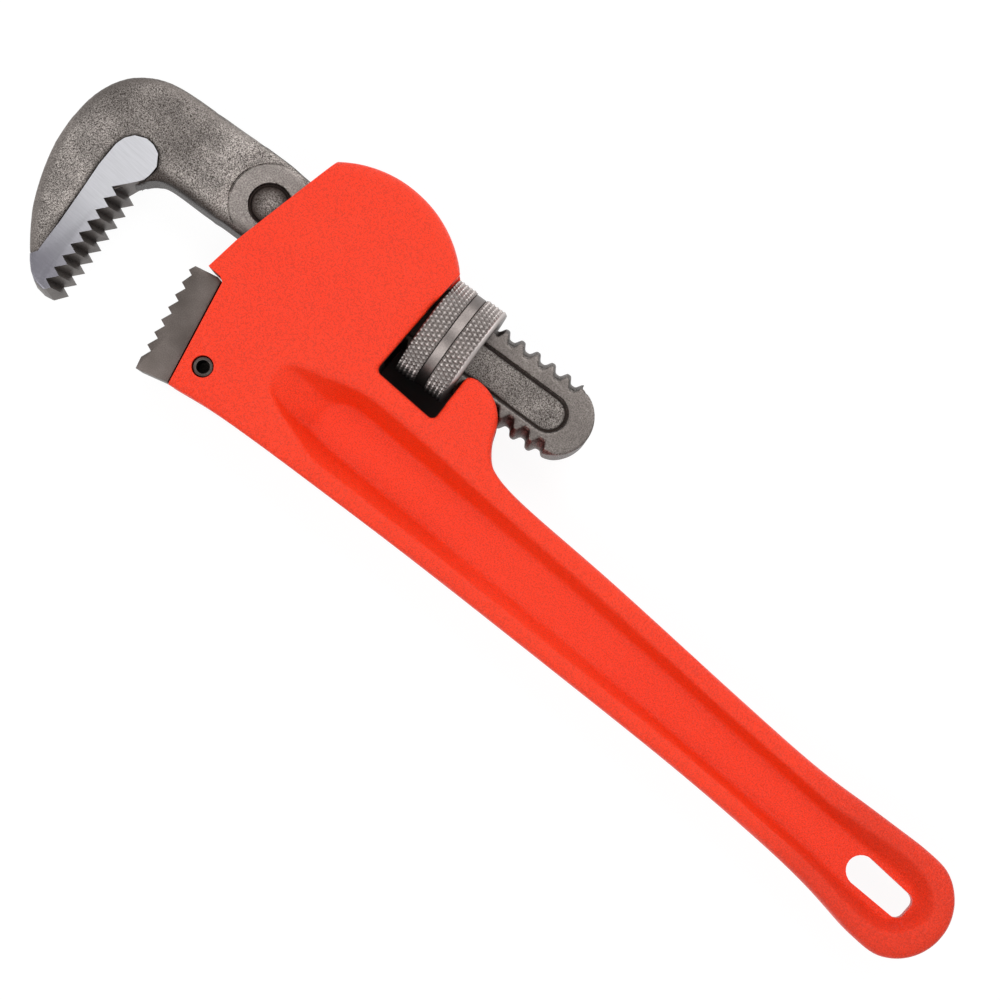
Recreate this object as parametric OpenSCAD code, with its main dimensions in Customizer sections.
// Pipe wrench, straight pattern, 250 mm (nominal 10 inch) size, lying on its side.
//
// Frame: +X runs along the handle from the jaws to the hanging end, +Y points from the
// heel jaw's side to the back of the housing, and z = 0 is the housing's lower side face.
// The shank's axis crosses the nut's centre at y = 0, and x = 0 is midway along the housing.

/* [Housing] */
// Thickness of the housing across its two side faces
housing_t = 21; // [19:0.5:24]
// Position along X of the adjusting nut's centre
nut_x = 26.9; // [26.5:0.1:27.2]
// Width of the tunnel that the shank runs through, across the wrench's thickness
tunnel_w = 14; // [13.6:0.1:15]
// Radius of the housing's curved back
back_r = 28.2; // [28:0.1:28.6]

/* [Handle] */
// Thickness of the handle's flanges behind the housing
flange_t = 15; // [13:0.5:17]
// Thickness of the web between the flanges
web_t = 6; // [4:0.5:8]
// Radius of the handle's round end
end_r = 13.1; // [12.5:0.1:13.5]
// Length of the hanging slot from end to end
slot_len = 16.8; // [14:0.2:18]
// Width of the hanging slot
slot_w = 7.4; // [6:0.1:8]

/* [Jaws] */
// Angle between the shank and the handle with the wrench at rest, in degrees
jaw_rock = 5; // [4.6:0.1:5]
// How far the loose jaw has rolled about its shank, in degrees
jaw_roll = 5; // [0:0.5:5]
// Thickness of the shank
shank_t = 11; // [10:0.5:11]
// Thickness of the hook
hook_t = 12.5; // [11.5:0.5:13]
// Distance between neighbouring teeth on both jaws
tooth_pitch = 3.17; // [3.1:0.01:3.2]
// Width of the heel jaw's toothed block
heel_t = 17; // [15:0.5:19]
// Width of the heel jaw's tang
tang_t = 8; // [7:0.5:9]
// Diameter of the spring pin that holds the heel jaw
heel_pin_d = 4.9; // [4.5:0.1:5]

/* [Adjusting nut and thread] */
// Lead of the single-start right-hand thread (6 to the inch)
thread_pitch = 4.233; // [4.233, 4.5]
// Radius of the shank's thread over its crests
crest_r = 9.55; // [9.5:0.01:9.6]
// Height of the thread
thread_h = 1.35; // [1.2:0.05:1.4]
// Outer diameter of the nut
nut_d = 25; // [24:0.2:25]
// Length of the nut
nut_len = 12.4; // [12:0.1:12.4]

/* [Spring set] */
// Length of the flat spring under the shank
leaf_len = 31; // [26:1:32]
// Thickness of the flat spring
leaf_t = 1; // [0.8:0.1:1]
// Outer diameter of the coil spring
coil_d = 6.6; // [6:0.1:6.8]
// Wire thickness of the coil spring
wire_d = 0.9; // [0.7:0.1:1]

/* [Hidden] */
$fn = 64;
half_t = housing_t / 2;
thread_root_r = crest_r - thread_h;
past = 1;             // how far a cutter runs past the face that it opens
gap = 0.3;            // running gap between faces that slide past each other
heel_seat = [-19.2, -24.2];   // top of the heel jaw's seat in the housing
heel_tilt = 13.8;             // the seat leans this far from -Y, in degrees
heel_seat_len = 25.6;
heel_pin_at = [18.6, 4.9];    // down the seat, and in from it
tang_from = 7.5;              // the tang starts this far down the seat
tang_depth = 10.5;
end_c = [183.1, -28];         // centre of the handle's round end
slot_c = [178.2, -28.2];
flange_w = 4.1;               // width of each flange in the side view
coil_x = -26;                 // the coil stands here, from the nut's centre along the shank
leaf_y = -9.9;                // the flat spring's face below the shank
coil_len = 9.6;
coil_turns = 5;

// Points of an arc about c from angle a0 to a1.
function arc(c, r, a0, a1, n = 8) =
    [for (i = [0 : n]) let (a = a0 + (a1 - a0) * i / n) c + r * [cos(a), sin(a)]];

// A smooth curve through the points p, n steps between neighbours.
function spline(p, n = 4) = [
    for (i = [0 : len(p) - 2], j = [0 : n - 1])
        let (a = p[max(i - 1, 0)], b = p[i], c = p[i + 1], d = p[min(i + 2, len(p) - 1)], t = j / n)
        b + t / 2 * (c - a + t * (2 * a - 5 * b + 4 * c - d + t * (3 * b - a - 3 * c + d))),
    p[len(p) - 1]
];

// Lifts a piece from the wrench's middle plane so that the side face lies at z = 0.
module seated() translate([0, 0, half_t]) children();

// The hook jaw's frame: X along its shank, origin at the nut's centre.
module on_shank(roll = 0)
    translate([nut_x, 0, 0]) rotate([0, 0, jaw_rock]) rotate([-roll, 0, 0]) children();

// The heel jaw's frame: X down its seat, Y from the seat into the housing.
module on_heel_seat()
    translate(heel_seat) rotate([0, 0, heel_tilt - 90]) children();

// Extrudes a side view evenly about the middle plane.
module plate(t) linear_extrude(t, center = true) children();

// Extrudes a shape drawn across an axis along X.
module along_x(len) rotate([90, 0, 90]) linear_extrude(len) children();

// ---- handle and housing, one casting ----

lower_edge = [[-13.1, -49.1], [-3.8, -47.3], [7.6, -45.9], [24, -44.3], [52.5, -42.1],
              [90, -40], [125, -38.4], [150, -38.1], [166, -38.9], [179, -40.4]];
upper_edge = [[180, -15.2], [166, -16.1], [150, -17.4], [125, -17.5], [90, -17], [64, -17.2],
              [54.8, -16.1], [51.7, -14.2], [49.4, -11.3]];

module side_view() polygon(concat(
    [[-23.4, -23.5], [-20.2, -23.4], heel_seat],
    spline(lower_edge),
    arc(end_c, end_r, -80, 80, 20),
    spline(upper_edge),
    arc([39.2, -12.8], 9.9, 12, 105, 8),           // horn beside the nut
    [[35.8, -4.2], [35.8, -15.6]],
    arc([34.9, -15.6], 0.9, 0, -90, 3),            // floor of the nut's window
    arc([21, -15.6], 0.9, -90, -180, 3),
    [[20, 3], [19.1, 10.8]],
    arc([0, 19.8 - back_r], back_r, 48, 127, 14),
    [[-17.9, 12.9], [-22.7, -15.1]]
));

// Seen from above, the casting is thick at the housing and thins towards the handle.
module top_view() polygon(concat(
    [[-60, -half_t], [30, -half_t]],
    spline([[34, -half_t], [50, -half_t + 0.9], [66, -flange_t / 2 - 0.2], [80, -flange_t / 2]]),
    [[210, -flange_t / 2], [210, flange_t / 2]],
    spline([[80, flange_t / 2], [66, flange_t / 2 + 0.2], [50, half_t - 0.9], [34, half_t]]),
    [[30, half_t], [-60, half_t]]
));

// The recess beside the web, with a ramp down to it at the housing.
module recess_view() polygon(concat(
    spline([[1.4, -33.4], [2.7, -29.6], [9.9, -25.3], [21.6, -21.9], [37, -21.4],
            [90, -17 - flange_w], [125, -17.5 - flange_w], [150, -17.4 - flange_w],
            [166, -16.1 - flange_w - 0.2], [181, -19.9]]),
    arc(end_c, 8.3, 75, -80, 12),
    spline([[178, -36.1], [166, -38.9 + flange_w], [150, -38.1 + flange_w], [125, -38.4 + flange_w],
            [90, -40 + flange_w], [52.5, -42.1 + flange_w], [19.8, -40.2], [7.5, -36.9]])
));

module recess() intersection() {
    plate(4 * half_t) recess_view();
    rotate([90, 0, 0]) linear_extrude(60)
        polygon([[0, half_t + past], [1.4, half_t], [16, web_t / 2], [200, web_t / 2],
                 [200, half_t + past]]);
}

// Room for the shank and for the springs below it; the floor leaves room to rock.
module tunnel() plate(tunnel_w)
    polygon([[-30, -19], [20 + past, -13.6], [20 + past, 9.6 + past], [18.6, 9.5],
             [-30, 11.6 - 57 * sin(jaw_rock)]]);

module slot_hole() {
    reach = (slot_len - slot_w) / 2;
    for (side = [-1, 1])
        translate([slot_c.x + side * reach, slot_c.y, 0])
            cylinder(h = 2 * housing_t, d = slot_w, center = true);
    translate(slot_c) cube([2 * reach, slot_w, 2 * housing_t], center = true);
}

module heel_pin_hole()
    on_heel_seat() translate(heel_pin_at)
        cylinder(h = 2 * housing_t, d = heel_pin_d + 0.1, center = true);

module handle() color("#ff4a2e") seated() difference() {
    intersection() {
        plate(2 * housing_t) side_view();
        rotate([90, 0, 0]) linear_extrude(160, center = true) top_view();
    }
    recess();
    mirror([0, 0, 1]) recess();
    tunnel();
    // the horn is two cheeks with the end of the shank between them
    translate([35, -12.6, -tunnel_w / 2]) cube([30, 30, tunnel_w]);
    on_shank() translate([coil_x, leaf_y - leaf_t - coil_len, 0])
        rotate([-90, 0, 0]) cylinder(h = 20, d = coil_d + 0.8);
    on_heel_seat() translate([tang_from - gap, -past, -tang_t / 2 - gap / 2])
        cube([40, tang_depth + gap + past, tang_t + gap]);
    heel_pin_hole();
    slot_hole();
}

// ---- heel jaw and its pin ----

// Teeth down the heel's front: each has a long flank above its tip and a short one below.
heel_tip = [-26.2, -30.1];
heel_tooth_step = tooth_pitch * [sin(12.8), -cos(12.8)];
heel_valley = [1.55, -0.55];

function heel_teeth() = [for (i = [0 : 5], at = [[0, 0], heel_valley]) heel_tip + i * heel_tooth_step + at];

module heel_block() polygon(concat(
    [[-13.9, -48.9], [-19.95, -24.2], [-20.9, -23.95], [-26.3, -25.4], [-26.9, -27], [-25.6, -27.5]],
    heel_teeth(),
    [[-21.9, -48.5], [-21.1, -51.2]]
));

module heel_jaw() color("#64605d") seated() difference() {
    union() {
        plate(heel_t) heel_block();
        on_heel_seat() translate([tang_from, -3, -tang_t / 2])
            cube([heel_seat_len - tang_from, tang_depth + 3, tang_t]);
    }
    heel_pin_hole();
}

// A rolled spring pin, slit along its length.
module heel_jaw_pin() color("#2e2b2a") seated()
    on_heel_seat() translate(heel_pin_at) difference() {
        cylinder(h = housing_t - 1.4, d = heel_pin_d, center = true);
        cylinder(h = housing_t, d = heel_pin_d - 1.8, center = true);
        translate([0, -0.4, -housing_t / 2]) cube([heel_pin_d, 0.8, housing_t]);
    }

// ---- hook jaw, in its own frame ----

hook_from = -66;     // the thicker hook starts here, from the nut's centre
hook_tips = 9;
hook_tip = [-75.3, -42.5];
hook_tooth_step = tooth_pitch * [-sin(2), cos(2)];
hook_valley = [-2.1, 0.95];

function hook_teeth() = [for (i = [0 : hook_tips - 1], at = [[0, 0], hook_valley])
    hook_tip + i * hook_tooth_step + at];

module hook_view() polygon(concat(
    [[hook_from, 10.3], [hook_from, -9.1]],
    spline([[-68, -9.1], [-72.3, -9.3], [-75.4, -11.5], [-76.6, -13.8]], 3),
    [for (i = [len(hook_teeth()) - 1 : -1 : 0]) hook_teeth()[i]],
    [[-77.2, -44.6]],
    spline([[-77.4, -45.6], [-82.3, -45.2], [-85.5, -42.5], [-89.8, -36.9], [-93.2, -30.9],
            [-95.8, -24.2], [-97.4, -17], [-98, -10], [-97.3, -3.4], [-95.1, 2.2],
            [-91.7, 6.2], [-86.3, 9.2], [-79.6, 10.4], [-70.5, 10.4]], 3)
));

module shank_view() polygon([[-72, 10.3], [-52, 10.2], [-44, 9.5], [-28, 9.4], [-28, -9.3],
                             [-44, -9.2], [-52, -9.1], [-72, -9.1]]);

thread_from = -28.6;   // the thread starts here, from the nut's centre
shank_end_c = 29;    // the shank's round end is drawn about this point
shank_end_r = 8.6;
crests = 14;         // on the upper edge; the lower edge's stand between them
first_crest = 9.1 - 8 * thread_pitch;

// One thread crest on the edge at turn degrees about the shank: a short piece of the helix.
module crest(x, turn) {
    rise = atan(thread_pitch / (2 * PI * crest_r));
    translate([x, 0, 0]) rotate([turn, 0, 0]) rotate([0, rise, 0])
        rotate([0, 90, 0]) rotate([0, 0, 90]) rotate_extrude(angle = 84, start = -42)
            polygon([[thread_root_r - 1, -2], [crest_r, -0.4], [crest_r, 0.4],
                     [thread_root_r - 1, 2]]);
}

module thread() {
    translate([thread_from, 0, 0]) along_x(shank_end_c + shank_end_r - thread_from) circle(thread_root_r);
    for (i = [0 : 2 * crests - 2])
        crest(first_crest + i / 2 * thread_pitch, i % 2 * 180);
}

module hook_jaw() color("#746e6b") seated() on_shank(jaw_roll) union() {
    plate(hook_t) hook_view();
    plate(shank_t) shank_view();
    intersection() {
        thread();
        plate(shank_t) union() {
            translate([thread_from, -12]) square([shank_end_c - thread_from, 24]);
            translate([shank_end_c, 0]) circle(shank_end_r);
        }
    }
}

// ---- adjusting nut ----

module nut_section() polygon([
    [0, -nut_len / 2], [nut_d / 2 - 0.5, -nut_len / 2], [nut_d / 2, -nut_len / 2 + 0.5],
    [nut_d / 2, -1.7], [nut_d / 2 - 0.4, -1.4], [nut_d / 2 - 0.4, 1.4], [nut_d / 2, 1.7],
    [nut_d / 2, nut_len / 2 - 0.5], [nut_d / 2 - 0.5, nut_len / 2], [0, nut_len / 2]
]);

// The nut's thread is a round hole set off its axis and twisted along it.
module nut_thread() {
    len = nut_len + 2 * past;
    turn = 360 / thread_pitch;
    offset_r = thread_h / 2 + 0.05;
    play = 0.35;
    translate([-len / 2, 0, 0]) rotate([90, 0, 90])
        linear_extrude(len, twist = -turn * len, slices = 60, $fn = 32)
            rotate((-len / 2 - first_crest) * turn)
                translate([offset_r, 0]) circle(crest_r - thread_h / 2 + play);
}

module adjusting_nut() color("#6e6964") seated() on_shank() difference() {
    rotate([0, 90, 0]) rotate_extrude() nut_section();
    nut_thread();
}

// ---- spring set under the shank ----

module flat_spring() color("#8a8a8c") seated() on_shank() difference() {
    translate([coil_x - leaf_len / 2, leaf_y - leaf_t, -5]) cube([leaf_len, leaf_t, 10]);
    translate([coil_x, leaf_y - leaf_t / 2, 0]) rotate([90, 0, 0])
        cylinder(h = 2 * leaf_t, d = 3, center = true);
}

// Joins the coil's upper end to the flat spring.
module spring_rivet() color("#77736f") seated() on_shank()
    translate([coil_x, leaf_y, 0]) rotate([90, 0, 0]) {
        cylinder(h = leaf_t + 0.2, d = 2.96);
        translate([0, 0, leaf_t + 0.02]) cylinder(h = 1.2, d = 4.2);
    }

module coil_spring() color("#8f9093") seated() on_shank() {
    rise = (coil_len - wire_d) / coil_turns;
    mean_r = (coil_d - wire_d) / 2;
    // level cut through a wire that climbs rise per turn
    level_cut = [for (a = [0 : 20 : 340])
        let (turn = 360 * wire_d / 2 * cos(a) / rise, r = mean_r + wire_d / 2 * sin(a))
        r * [cos(turn), sin(turn)]];
    translate([coil_x, leaf_y - leaf_t - 0.03, 0]) rotate([90, 0, 0])
        linear_extrude(coil_len - 0.06, twist = -360 * coil_len / rise, slices = 24 * coil_turns,
                       $fn = 18)
            polygon(level_cut);
}

handle();
heel_jaw();
heel_jaw_pin();
hook_jaw();
adjusting_nut();
flat_spring();
coil_spring();
spring_rivet();
